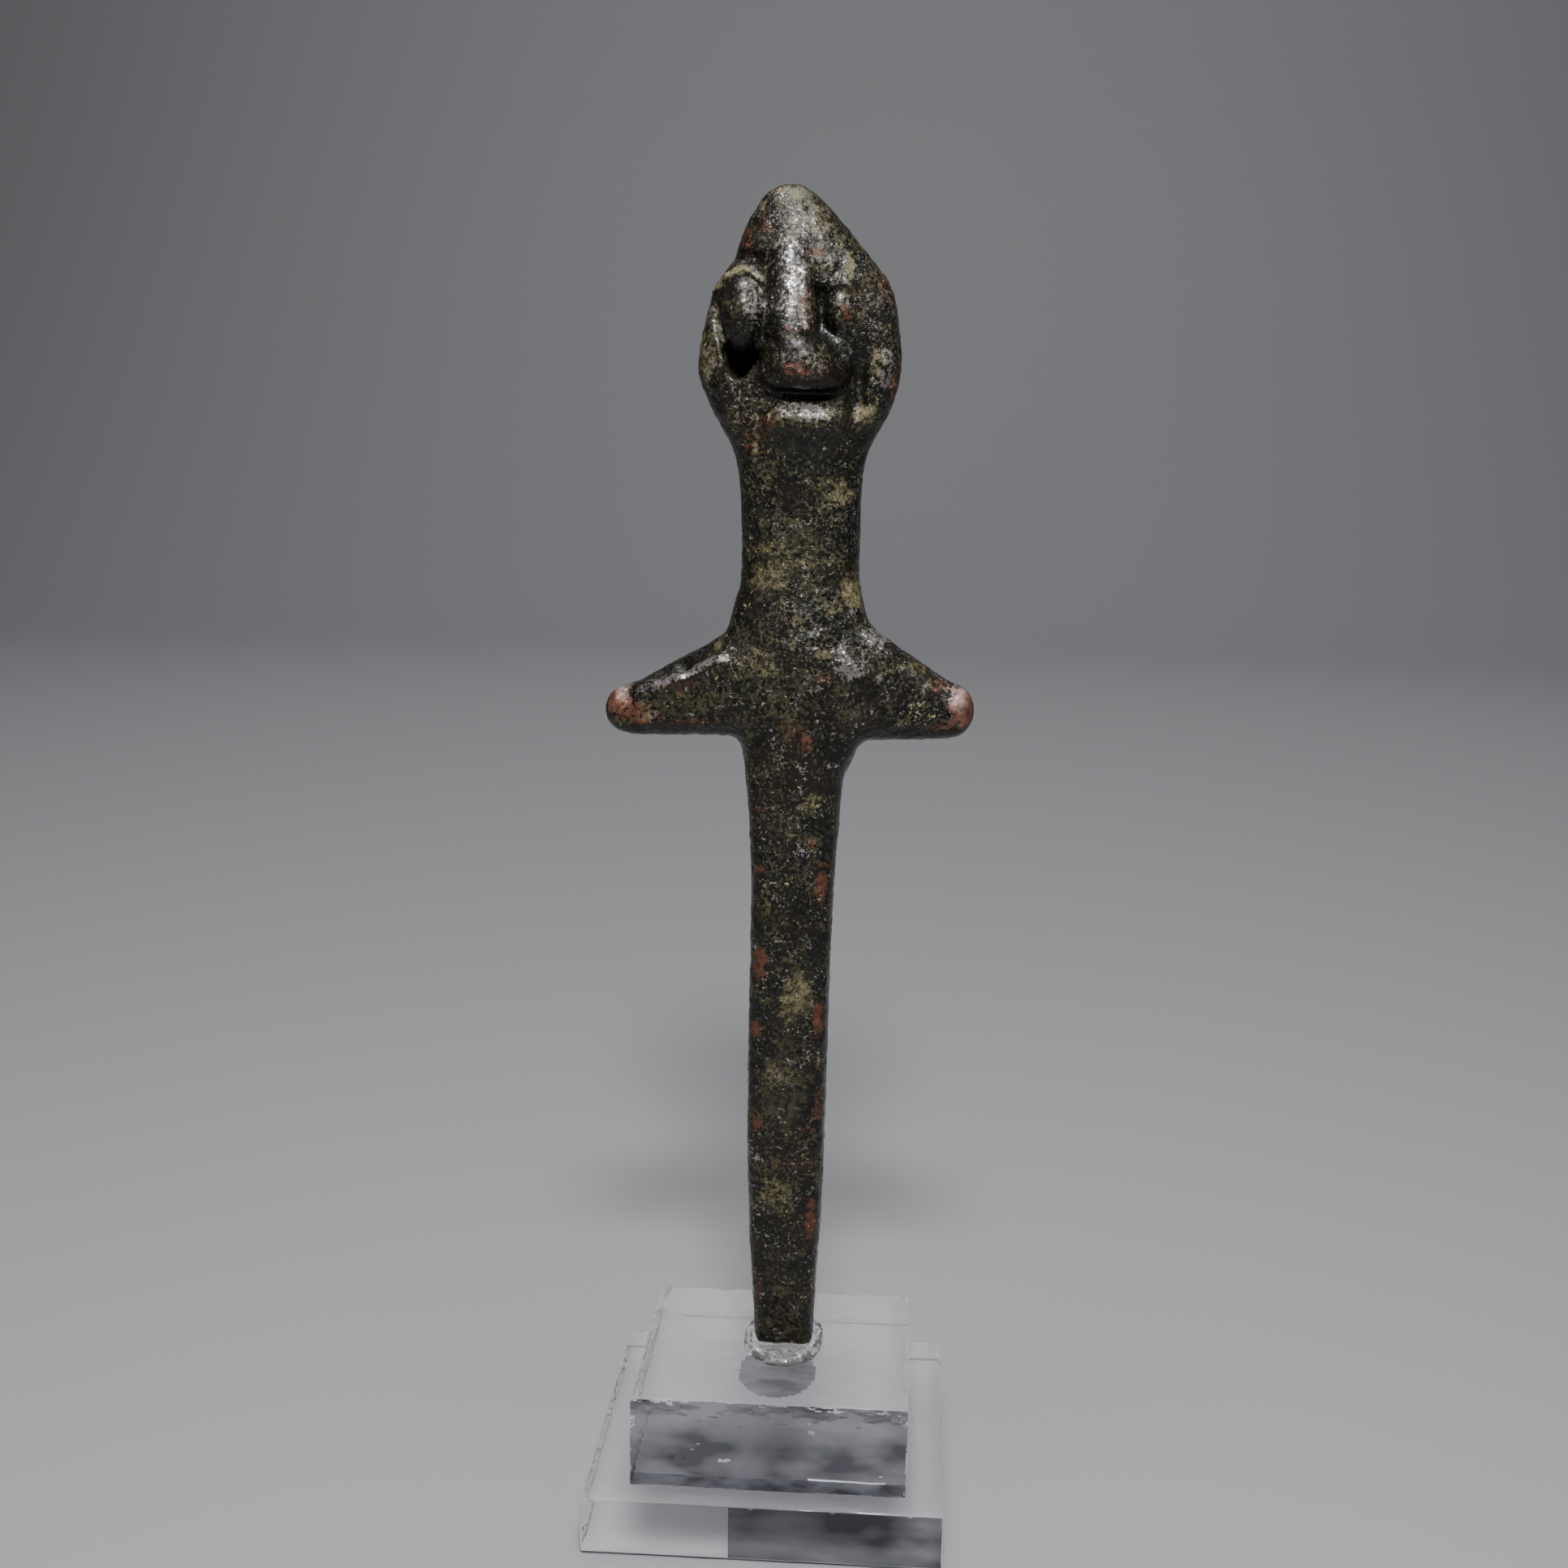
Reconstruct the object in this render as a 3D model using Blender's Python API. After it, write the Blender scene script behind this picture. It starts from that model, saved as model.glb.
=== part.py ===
"""Cast bronze votive figure, held upright in a clear pad on a stepped stand of two clear blocks.

Metres, +Z up. The figure faces -Y. The origin is the centre of the stand's underside.
The figure is a peg with two stub arms and a beaked, hooded head, all cast in one piece.
"""

import math
from collections import namedtuple

import bmesh
import bpy

MM = 0.001

# Stand
LOWER_SIDE = 40.0 * MM
LOWER_HEIGHT = 6.4 * MM
UPPER_WIDTH = 30.8 * MM
UPPER_DEPTH = 28.2 * MM
UPPER_HEIGHT = 10.2 * MM
UPPER_SHIFT_X = 0.45 * MM
UPPER_SHIFT_Y = -2.8 * MM
EDGE_BREAK = 0.3 * MM
FACE_GAP = 0.3 * MM

# Clear collar of gel round the foot
COLLAR_HEIGHT = 1.3 * MM
COLLAR_SIDE_MARGIN = 0.5 * MM
COLLAR_FRONT_MARGIN = 2.9 * MM
COLLAR_BACK_MARGIN = 1.0 * MM
COLLAR_LIP = 0.4 * MM
COLLAR_ROUNDNESS = 2.2
COLLAR_STEPS = 6

# Figure
FIGURE_HEIGHT = 130.2 * MM
FOOT_SHIFT_X = 0.85 * MM
FOOT_SHIFT_Y = 0.4 * MM

# A level section: its height, sideways shift, half width, reach to the front and back, and
# squareness, where 2 is an ellipse and 5 a block with round corners. Heights and sizes here and
# below are in parts, which the figure's height divides into.
Section = namedtuple("Section", "level shift half front back squareness")

BODY = (
    Section(0.0, -0.08, 3.36, 2.5, 2.5, 5.0),
    Section(5.0, -0.14, 3.58, 2.6, 2.6, 5.0),
    Section(15.0, -0.21, 4.10, 2.8, 2.8, 5.0),
    Section(27.0, -0.20, 4.43, 3.0, 3.0, 5.0),
    Section(45.0, -0.05, 4.54, 3.3, 3.2, 4.6),
    Section(55.0, 0.10, 4.60, 3.6, 3.4, 4.0),
    Section(64.0, 0.18, 5.14, 4.1, 3.7, 3.4),
    Section(67.5, 0.10, 5.42, 4.5, 4.0, 3.1),
    Section(70.7, 0.60, 6.30, 4.8, 4.2, 2.9),
    Section(77.0, 0.35, 7.30, 5.3, 4.5, 2.6),
    Section(84.0, 0.30, 7.65, 5.1, 4.6, 2.5),
    Section(88.5, 0.37, 6.45, 4.7, 4.5, 2.5),
    Section(95.0, 0.36, 6.42, 4.6, 4.4, 2.5),
    Section(101.0, 0.26, 6.73, 4.7, 4.5, 2.6),
    Section(103.5, 0.18, 7.55, 4.7, 4.6, 2.7),
    Section(107.0, 0.12, 9.55, 4.7, 4.7, 2.9),
    Section(111.0, -0.04, 10.85, 4.8, 4.8, 3.1),
    Section(115.0, 0.10, 10.40, 4.9, 4.8, 3.1),
    Section(119.4, 0.25, 9.45, 5.0, 4.6, 2.8),
    Section(122.0, 0.18, 7.60, 5.1, 4.3, 2.4),
    Section(125.0, -0.50, 5.75, 4.7, 3.7, 2.2),
    Section(127.6, -1.02, 3.95, 3.6, 2.9, 2.1),
    Section(129.4, -1.15, 2.40, 2.2, 1.8, 2.0),
    Section(130.2, -1.10, 1.00, 0.9, 0.8, 2.0),
)

# The ridge that runs down from the hood's point and swells into the muzzle
MUZZLE = (
    Section(109.1, 0.95, 4.20, 7.5, 1.0, 3.4),
    Section(109.9, 0.95, 4.70, 8.4, 1.0, 3.0),
    Section(111.2, 0.85, 4.65, 8.8, 1.0, 2.6),
    Section(113.2, 0.15, 3.80, 8.5, 1.0, 2.6),
    Section(115.5, -0.65, 3.00, 7.9, 1.0, 2.8),
    Section(120.0, -0.95, 2.95, 6.8, 1.0, 2.6),
    Section(124.0, -1.05, 3.10, 5.4, 1.0, 2.2),
    Section(127.0, -1.10, 2.40, 3.8, 1.0, 2.0),
)

# The jaw, whose top is a lit ledge under the mouth
JAW = (
    Section(96.0, 0.35, 3.00, 4.6, 1.0, 3.0),
    Section(100.0, 0.45, 3.80, 5.1, 1.0, 3.4),
    Section(103.5, 0.80, 4.45, 5.9, 1.0, 4.0),
    Section(105.4, 1.00, 4.75, 7.2, 1.0, 4.4),
    Section(106.4, 1.00, 4.75, 7.3, 1.0, 4.4),
    Section(108.3, 1.00, 4.55, 5.4, 1.0, 4.4),
)

# An arm: which side, its tip's distance from the axis, then the centre height and half height
# of its upright sections at the tip end and at the root
Limb = namedtuple("Limb", "side reach tip_level tip_half root_level root_half")
ARMS = (
    Limb(-1, 21.0, 74.45, 2.80, 77.80, 5.85),
    Limb(1, 19.75, 75.15, 3.15, 78.45, 6.75),
)
# What both arms share: where they start, how long the round end is, their half depth at each
# end, how far they stand forward, and the squareness of their sections
ArmForm = namedtuple("ArmForm", "root end tip_depth root_depth forward squareness")
ARM = ArmForm(6.5, 3.1, 2.7, 4.5, 0.35, 2.8)
ARM_STEPS = 26
ARM_LAST_TURN = math.radians(87.0)

# Oval hollows and lumps of the face: centre x, y and level, then half sizes along x, y and z
Oval = namedtuple("Oval", "name x y level half_x half_y half_z")
HOLLOWS = (
    Oval("left_socket_hollow", -5.85, -4.4, 116.9, 3.00, 4.6, 4.0),
    Oval("left_socket_tail", -5.75, -3.4, 113.9, 2.10, 4.6, 3.0),
    Oval("left_socket_point", -6.15, -3.2, 112.0, 1.20, 4.4, 2.1),
    Oval("right_socket_hollow", 3.60, -5.6, 117.0, 2.10, 1.9, 3.5),
    Oval("hood_notch_hollow", -5.60, -5.3, 122.3, 2.30, 2.2, 0.85),
    Oval("cheek_hollow", 6.30, -6.3, 108.8, 1.20, 2.8, 6.4),
    Oval("jaw_hollow", -4.20, -6.0, 104.4, 0.75, 1.8, 3.6),
)
EYES = (
    Oval("left_eye_lump", -5.65, -2.8, 116.6, 2.75, 4.0, 4.10),
    Oval("right_eye_lump", 4.10, -3.5, 117.1, 1.60, 2.1, 2.60),
)

# How the forms melt into one casting
PART = FIGURE_HEIGHT / BODY[-1].level
RING_SIDES = 40
RING_STEP = 1.2 * PART
BLEND_VOXEL = 0.5 * PART
DETAIL_VOXEL = 0.34 * PART
LIMB_STEPS = 12
FACE_STEPS = 4
DETAIL_STEPS = 4
KEPT_SHARE = 0.080

# Levels of the stack, each a gap above the piece below
UPPER_BASE = LOWER_HEIGHT + FACE_GAP
UPPER_TOP = UPPER_BASE + UPPER_HEIGHT
FOOT_BASE = UPPER_TOP + FACE_GAP
FOOT_X = UPPER_SHIFT_X + FOOT_SHIFT_X
FOOT_Y = UPPER_SHIFT_Y + FOOT_SHIFT_Y


def clear_scene():
    """Removes the start-up objects."""
    for old in list(bpy.data.objects):
        bpy.data.objects.remove(old)


def finish_of(name, colour, roughness, metallic=0.0, transmission=0.0):
    """A Principled material with plain values."""
    material = bpy.data.materials.new(name)
    material.use_nodes = True
    shader = material.node_tree.nodes["Principled BSDF"]
    shader.inputs["Base Color"].default_value = (*colour, 1.0)
    shader.inputs["Roughness"].default_value = roughness
    shader.inputs["Metallic"].default_value = metallic
    shader.inputs["Transmission Weight"].default_value = transmission
    shader.inputs["IOR"].default_value = 1.49
    return material


def object_from(name, bm, material=None):
    """Turns a bmesh into a linked object."""
    bmesh.ops.recalc_face_normals(bm, faces=bm.faces)
    mesh = bpy.data.meshes.new(name)
    bm.to_mesh(mesh)
    bm.free()
    made = bpy.data.objects.new(name, mesh)
    bpy.context.scene.collection.objects.link(made)
    if material:
        mesh.materials.append(material)
    return made


def make_guide(obj):
    """Marks an object as a cutter or a source shape, which isn't a piece."""
    obj.hide_render = True
    obj.display_type = "WIRE"
    return obj


def oval_outline(half, front, back, squareness):
    """Corners round a squared oval, with its own reach to the front and to the back."""
    power = 2.0 / squareness
    outline = []
    for side in range(RING_SIDES):
        across = math.cos(2 * math.pi * side / RING_SIDES)
        along = math.sin(2 * math.pi * side / RING_SIDES)
        x = math.copysign(abs(across) ** power, across) * half
        reach = back if along > 0 else front
        outline.append((x, math.copysign(abs(along) ** power, along) * reach))
    return outline


def ease(sections, level):
    """The section at a level, on a smooth curve through the sections given."""
    last = len(sections) - 2
    index = max(0, min(last, sum(s.level <= level for s in sections) - 1))
    low, high = sections[index], sections[index + 1]
    before = sections[max(index - 1, 0)]
    after = sections[min(index + 2, len(sections) - 1)]
    span = high.level - low.level
    t = (level - low.level) / span
    values = [level]
    for b, p, q, a in list(zip(before, low, high, after))[1:]:
        slope_low = (q - b) / max(high.level - before.level, 1e-6) * span
        slope_high = (a - p) / max(after.level - low.level, 1e-6) * span
        values.append(
            (2 * t**3 - 3 * t**2 + 1) * p
            + (t**3 - 2 * t**2 + t) * slope_low
            + (3 * t**2 - 2 * t**3) * q
            + (t**3 - t**2) * slope_high
        )
    return Section(*values)


def skin(bm, rings):
    """Walls between closed rings of points, with a flat cap at each end."""
    loops = [[bm.verts.new(point) for point in ring] for ring in rings]
    for low, high in zip(loops, loops[1:]):
        for i in range(len(low)):
            j = (i + 1) % len(low)
            bm.faces.new((low[i], low[j], high[j], high[i]))
    bm.faces.new(loops[0])
    bm.faces.new(loops[-1])


def loft_levels(bm, sections):
    """A form of level sections, stacked up Z, in the figure's own frame."""
    low, high = sections[0].level, sections[-1].level
    steps = max(2, round((high - low) * PART / RING_STEP))
    rings = []
    for step in range(steps + 1):
        s = ease(sections, low + (high - low) * step / steps)
        outline = oval_outline(s.half, s.front, s.back, s.squareness)
        rings.append([((x + s.shift) * PART, y * PART, s.level * PART) for x, y in outline])
    skin(bm, rings)


def loft_arm(bm, limb):
    """One stub arm, from inside the chest out to a round end."""
    rings = []
    for step in range(ARM_STEPS + 1):
        # Rings crowd towards the tip, where the end rounds off
        out = limb.reach * math.sin(ARM_LAST_TURN * step / ARM_STEPS)
        share = max(0.0, (out - ARM.root) / (limb.reach - ARM.end - ARM.root))
        share = min(share, 1.0)
        level = limb.root_level + (limb.tip_level - limb.root_level) * share
        half = limb.root_half + (limb.tip_half - limb.root_half) * share
        depth = ARM.root_depth + (ARM.tip_depth - ARM.root_depth) * share
        into_end = max(0.0, (out - (limb.reach - ARM.end)) / ARM.end)
        roundness = math.sqrt(max(0.0, 1.0 - into_end**2))
        outline = oval_outline(depth, half, half, ARM.squareness)
        rings.append(
            [
                (
                    limb.side * out * PART,
                    (y * roundness - ARM.forward) * PART,
                    (level + z * roundness) * PART,
                )
                for y, z in outline
            ]
        )
    skin(bm, rings)


def figure_place():
    """Where the figure's own frame, its foot, stands on the stand."""
    return FOOT_X, FOOT_Y, FOOT_BASE


def oval_solid(oval):
    """A hollow's cutter or a raised lump, as a stretched sphere in the figure's frame."""
    bm = bmesh.new()
    bmesh.ops.create_uvsphere(bm, u_segments=32, v_segments=20, radius=1.0)
    for vertex in bm.verts:
        vertex.co.x = (vertex.co.x * oval.half_x + oval.x) * PART
        vertex.co.y = (vertex.co.y * oval.half_y + oval.y) * PART
        vertex.co.z = (vertex.co.z * oval.half_z + oval.level) * PART
    made = make_guide(object_from(oval.name, bm))
    made.location = figure_place()
    return made


def add_remesh(obj, name, voxel):
    """Rebuilds the surface as one skin on a grid of small cubes."""
    remesh = obj.modifiers.new(name, "REMESH")
    remesh.mode = "VOXEL"
    remesh.voxel_size = voxel
    remesh.use_smooth_shade = True


def add_smooth(obj, name, steps):
    """Softens the joins between forms, as in the wax that the figure was cast from."""
    smooth = obj.modifiers.new(name, "SMOOTH")
    smooth.factor = 0.5
    smooth.iterations = steps


def add_boolean(obj, other, operation):
    """Cuts the other shape out, or joins it on."""
    boolean = obj.modifiers.new(other.name, "BOOLEAN")
    boolean.operation = operation
    boolean.object = other


def make_figure(material):
    """The figure, one solid casting."""
    bm = bmesh.new()
    loft_levels(bm, BODY)
    for limb in ARMS:
        loft_arm(bm, limb)
    made = object_from("bronze_figure", bm, material)
    made.location = figure_place()
    add_remesh(made, "melt_limbs", BLEND_VOXEL)
    add_smooth(made, "soften_limbs", LIMB_STEPS)
    for name, sections in (("muzzle_form", MUZZLE), ("jaw_form", JAW)):
        bm = bmesh.new()
        loft_levels(bm, sections)
        form = make_guide(object_from(name, bm))
        form.location = figure_place()
        add_boolean(made, form, "UNION")
    add_remesh(made, "melt_muzzle", DETAIL_VOXEL)
    add_smooth(made, "soften_muzzle", FACE_STEPS)
    for oval in HOLLOWS:
        add_boolean(made, oval_solid(oval), "DIFFERENCE")
    for oval in EYES:
        add_boolean(made, oval_solid(oval), "UNION")
    add_remesh(made, "melt_face", DETAIL_VOXEL)
    add_smooth(made, "soften_face", DETAIL_STEPS)
    decimate = made.modifiers.new("fewer_faces", "DECIMATE")
    decimate.ratio = KEPT_SHARE
    return made


def make_block(name, width, depth, height, place, material):
    """A sawn clear block with lightly broken edges, its underside at the given place."""
    bm = bmesh.new()
    bmesh.ops.create_cube(bm, size=1.0)
    bmesh.ops.scale(bm, vec=(width, depth, height), verts=bm.verts)
    bmesh.ops.translate(bm, vec=(0, 0, height / 2), verts=bm.verts)
    made = object_from(name, bm, material)
    made.location = place
    bevel = made.modifiers.new("broken_edges", "BEVEL")
    bevel.width = EDGE_BREAK
    bevel.segments = 2
    return made


def foot_ring(bm, height, front, sides, back, squareness):
    """A level ring of corners round the foot, outside its section by the margins given."""
    foot = ease(BODY, COLLAR_HEIGHT / PART)
    outline = oval_outline(
        foot.half * PART + sides,
        foot.front * PART + front,
        foot.back * PART + back,
        squareness,
    )
    shift = foot.shift * PART + FOOT_X
    return [bm.verts.new((x + shift, y + FOOT_Y, height)) for x, y in outline]


def make_collar(material):
    """The clear collar: a low mound of gel round the foot, open in the middle."""
    bm = bmesh.new()
    top = FOOT_BASE + COLLAR_HEIGHT
    square = BODY[0].squareness
    lip = FACE_GAP + COLLAR_LIP
    loops = []
    for step in range(COLLAR_STEPS + 1):
        turn = 0.5 * math.pi * step / COLLAR_STEPS
        spread = math.cos(turn)
        loops.append(
            foot_ring(
                bm,
                FOOT_BASE + COLLAR_HEIGHT * math.sin(turn),
                lip + COLLAR_FRONT_MARGIN * spread,
                lip + COLLAR_SIDE_MARGIN * spread,
                lip + COLLAR_BACK_MARGIN * spread,
                square + (COLLAR_ROUNDNESS - square) * spread,
            )
        )
    for height in (top, FOOT_BASE):
        loops.append(foot_ring(bm, height, FACE_GAP, FACE_GAP, FACE_GAP, square))
    for low, high in zip(loops, loops[1:] + loops[:1]):
        for i in range(RING_SIDES):
            j = (i + 1) % RING_SIDES
            bm.faces.new((low[i], low[j], high[j], high[i]))
    return object_from("gel_collar", bm, material)


def main():
    """Builds the stand from the bottom up, then the figure on it."""
    clear_scene()
    bronze = finish_of("patinated_bronze", (0.055, 0.048, 0.034), 0.45, metallic=0.7)
    clear = finish_of("clear_acrylic", (0.95, 0.96, 0.97), 0.03, transmission=1.0)
    gel = finish_of("clear_gel", (0.93, 0.94, 0.94), 0.12, transmission=1.0)
    make_block(
        "lower_block", LOWER_SIDE, LOWER_SIDE, LOWER_HEIGHT, (0.0, 0.0, 0.0), clear
    )
    make_block(
        "upper_block",
        UPPER_WIDTH,
        UPPER_DEPTH,
        UPPER_HEIGHT,
        (UPPER_SHIFT_X, UPPER_SHIFT_Y, UPPER_BASE),
        clear,
    )
    make_collar(gel)
    make_figure(bronze)


main()
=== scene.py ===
"""Looks of a cast bronze votive figure that stands in a clear collar on two clear blocks.

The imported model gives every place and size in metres, and the figure faces -Y. Places on the
figure are given in millimetres from the middle of its foot: x to the viewer's right, z up.
"""

import logging
import math
from dataclasses import dataclass, field
from enum import Enum
from typing import Callable, Sequence

import bmesh
import bpy
import numpy as np
from mathutils import Matrix, Vector

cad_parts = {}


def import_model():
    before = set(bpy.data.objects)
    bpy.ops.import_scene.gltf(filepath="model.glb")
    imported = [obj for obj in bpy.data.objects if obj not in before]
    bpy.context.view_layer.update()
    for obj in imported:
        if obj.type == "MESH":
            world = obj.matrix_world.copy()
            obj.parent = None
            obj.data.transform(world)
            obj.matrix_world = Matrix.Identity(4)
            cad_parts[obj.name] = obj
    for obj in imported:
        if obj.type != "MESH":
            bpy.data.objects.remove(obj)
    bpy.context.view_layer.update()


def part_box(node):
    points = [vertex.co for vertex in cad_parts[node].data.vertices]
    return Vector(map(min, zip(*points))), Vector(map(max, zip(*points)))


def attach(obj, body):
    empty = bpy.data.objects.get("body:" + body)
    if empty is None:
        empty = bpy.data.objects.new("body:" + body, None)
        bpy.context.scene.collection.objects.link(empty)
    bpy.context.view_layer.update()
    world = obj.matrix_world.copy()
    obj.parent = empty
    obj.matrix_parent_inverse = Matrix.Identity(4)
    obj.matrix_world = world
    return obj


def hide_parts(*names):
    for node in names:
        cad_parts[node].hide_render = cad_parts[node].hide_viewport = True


LOG = logging.getLogger("votive_figure")
MM = 0.001

# How squarely a spot has to look one way to count as part of the face on that side
SQUARE_ON = 0.92

# Numbers that mix a grid cell, a seed and a salt into one random value
CELL_PRIMES = (73856093, 19349663, 83492791)
SEED_PRIME = 2654435761
SALT_PRIME = 40503
MIX_FACTOR = 0x45D9F3B
WHOLE_MASK = 0xFFFFFFFF
VALUE_MASK = 0xFFFFFF

Colour = tuple[float, float, float]
Place = tuple[float, float, float]
Points = np.ndarray


class Deposit(Enum):
    """What lies on the bronze, and painted shade and highlight, as values at every point of the
    casting.
    """

    OCHRE = "ochre_crust"
    OLIVE = "olive_bloom"
    COPPER = "copper_wear"
    OXIDE = "red_oxide"
    # Handled gloss, which also sets the painted highlight where copper is worn, mainly on the arm tips
    GLOSS = "handled_gloss"
    # Painted shade: in hollows, on undersides and on listed spots
    HOLLOW = "hollow_dark"


class Face(Enum):
    """The worked faces of a clear block, by the axis and the way that each looks."""

    FRONT = (1, -1)
    BACK = (1, 1)
    LEFT = (0, -1)
    RIGHT = (0, 1)
    UNDERSIDE = (2, -1)


class Cut(Enum):
    """How a face of a clear block was finished, or painted, by the number of its material."""

    POLISHED = 0
    SANDED = 1
    # Painted dark reflection: smoky clouds on the fronts
    SAWN = 2
    # A darker band along the foot of a front
    GLUED = 3
    # Painted shadow: a grey oval on a top
    STAINED = 4


@dataclass(frozen=True)
class Patch:
    """A deposit, worn place or painted shade on the figure's front, in millimetres; lean is its rise
    per width.
    """

    deposit: Deposit
    x: float
    z: float
    wide: float
    tall: float
    strength: float = 1.0
    lean: float = 0.0


@dataclass(frozen=True)
class Stroke:
    """One tool stroke on the wax, from x, z to x, z: pushed in, or raised where rise is positive."""

    start: tuple[float, float]
    end: tuple[float, float]
    radius: float
    rise: float


@dataclass(frozen=True)
class Lumps:
    """Smooth lumps on a skin: distance and height in metres, layers of detail, and salt."""

    wave: float
    height: float
    layers: int
    salt: int


@dataclass(frozen=True)
class Pits:
    """Round pits in a skin: spacing, largest radius, the share that is there, depth and salt."""

    spacing: float
    radius: float
    share: float
    depth: float
    salt: int


@dataclass(frozen=True)
class Spread:
    """A deposit's faint clouds all over: their noise, how strong they are and where they start."""

    deposit: Deposit
    wave: float
    layers: int
    salt: int
    strength: float
    low: float
    high: float
    ragged: float = 0.0


@dataclass(frozen=True)
class Grains:
    """How a soft deposit breaks up: the grains' size, the deposit's reach and how soft they end."""

    wave: float
    reach: float
    soft: float = 0.14


@dataclass(frozen=True)
class Specks:
    """Small specks: their size, how rare they are from about 0.6 to 0.9, and clump distance."""

    wave: float
    level: float
    clump: float


@dataclass(frozen=True)
class PaintedShadowOval:
    """A painted shadow: a clouded oval on a block's top, its middle and its half width and depth, in
    metres.
    """

    x: float
    y: float
    wide: float
    deep: float

    def holds(self, spot: Vector) -> bool:
        """Tells whether a spot lies inside the oval."""
        return ((spot.x - self.x) / self.wide) ** 2 + ((spot.y - self.y) / self.deep) ** 2 < 1


@dataclass(frozen=True)
class Panel:
    """A soft light panel: where it hangs and shines at, its size in metres and power in watts."""

    name: str
    place: Place
    aim: Place
    wide: float
    tall: float
    power: float


class GrainField:
    """Smooth and cellular noise at many points at once, the same on every run."""

    fading = 0.55
    full = 1.5
    smallest_pit = 0.35

    def __init__(self, seed: int) -> None:
        """Keeps the seed that sets one field apart from another."""
        self.seed = seed

    def lattice(self, cells: Points, salt: int) -> Points:
        """Gives each lattice cell its own value from 0 to 1.

        Args:
            cells: Whole-number cell places, one row for each point.
            salt: A number that sets one set of values apart from the next.

        Returns:
            One value for each row.
        """
        whole = cells.astype(np.int64)
        along_x, along_y, along_z = (whole[:, axis] * prime for axis, prime in enumerate(CELL_PRIMES))
        mixed = along_x ^ along_y ^ along_z
        mixed = (mixed ^ (self.seed * SEED_PRIME + salt * SALT_PRIME)) & WHOLE_MASK
        for _ in range(2):
            mixed = ((mixed ^ (mixed >> 16)) * MIX_FACTOR) & WHOLE_MASK
        return ((mixed ^ (mixed >> 16)) & VALUE_MASK) / float(VALUE_MASK)

    def smooth(self, points: Points, wave: float, salt: int = 0) -> Points:
        """Smooth noise with soft lumps about one wave apart.

        Args:
            points: Places in metres.
            wave: The distance from lump to lump, in metres.
            salt: Sets one layer apart from the next.

        Returns:
            Values from -1 to 1.
        """
        scaled = points / wave
        cell = np.floor(scaled)
        part = scaled - cell
        part = part * part * part * (part * (part * 6 - 15) + 10)
        total = np.zeros(len(points))
        for corner in np.ndindex(2, 2, 2):
            step = np.array(corner, float)
            share = np.prod(np.where(step > 0, part, 1 - part), axis=1)
            total += share * self.lattice(cell + step, salt)
        return total * 2 - 1

    def layered(self, points: Points, wave: float, layers: int, salt: int = 0) -> Points:
        """Smooth noise with finer and fainter layers on top.

        Args:
            points: Places in metres.
            wave: The first layer's distance from lump to lump, in metres.
            layers: How many layers, each half as coarse as the one before.
            salt: Sets one field apart from the next.

        Returns:
            Values from about -1 to 1.
        """
        total = np.zeros(len(points))
        weight = 1.0
        for layer in range(layers):
            total += weight * self.smooth(points, wave / 2**layer, salt + 17 * layer)
            weight *= self.fading
        return total / self.full

    def lumps(self, points: Points, lumps: Lumps) -> Points:
        """One layer of lumps, with values from about -1 to 1 whatever their height."""
        return self.layered(points, lumps.wave, lumps.layers, lumps.salt)

    def pits(self, points: Points, pits: Pits) -> Points:
        """Round pits strewn about, with a random size each.

        Args:
            points: Places in metres.
            pits: How the pits lie and how large they are.

        Returns:
            The depth from 0 outside the pits to 1 in the middle of one.
        """
        cell = np.floor(points / pits.spacing)
        depth = np.zeros(len(points))
        for corner in np.ndindex(3, 3, 3):
            near = cell + np.array(corner, float) - 1
            middle = np.stack([self.lattice(near, pits.salt + axis) for axis in (1, 2, 3)], axis=1)
            away = np.linalg.norm((near + middle) * pits.spacing - points, axis=1)
            spare = (1 - self.smallest_pit) * self.lattice(near, pits.salt + 4)
            size = pits.radius * (self.smallest_pit + spare)
            there = self.lattice(near, pits.salt + 5) < pits.share
            bowl = np.clip(1 - (away / size) ** 2, 0, 1)
            depth = np.maximum(depth, np.where(there, bowl * size / pits.radius, 0))
        return depth


def ease_between(values: Points, low: float, high: float) -> Points:
    """Rises smoothly from 0 at low to 1 at high."""
    share = np.clip((values - low) / (high - low), 0, 1)
    return share * share * (3 - 2 * share)


def read_rows(mesh: bpy.types.Mesh, what: str) -> Points:
    """The places (co) or outward directions (normal) of the mesh's corners, one row each."""
    flat = np.empty(len(mesh.vertices) * 3)
    mesh.vertices.foreach_get(what, flat)
    return flat.reshape(-1, 3)


def write_points(mesh: bpy.types.Mesh, points: Points) -> None:
    """Moves the mesh's corners to new places."""
    mesh.vertices.foreach_set("co", points.astype(np.float32).ravel())
    mesh.update()


def write_value(mesh: bpy.types.Mesh, name: str, values: Points) -> None:
    """Keeps one number at each corner, for a material to read."""
    layer = mesh.attributes.new(name, "FLOAT", "POINT")
    layer.data.foreach_set("value", values.astype(np.float32))


def show_mesh(name: str, mesh: bpy.types.Mesh) -> bpy.types.Object:
    """Puts a mesh into the scene as a smooth-shaded object.

    Args:
        name: The piece's name.
        mesh: Its mesh, in the model's frame.

    Returns:
        The new object.
    """
    mesh.name = name
    mesh.shade_smooth()
    made = bpy.data.objects.new(name, mesh)
    bpy.context.scene.collection.objects.link(made)
    return made


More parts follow.
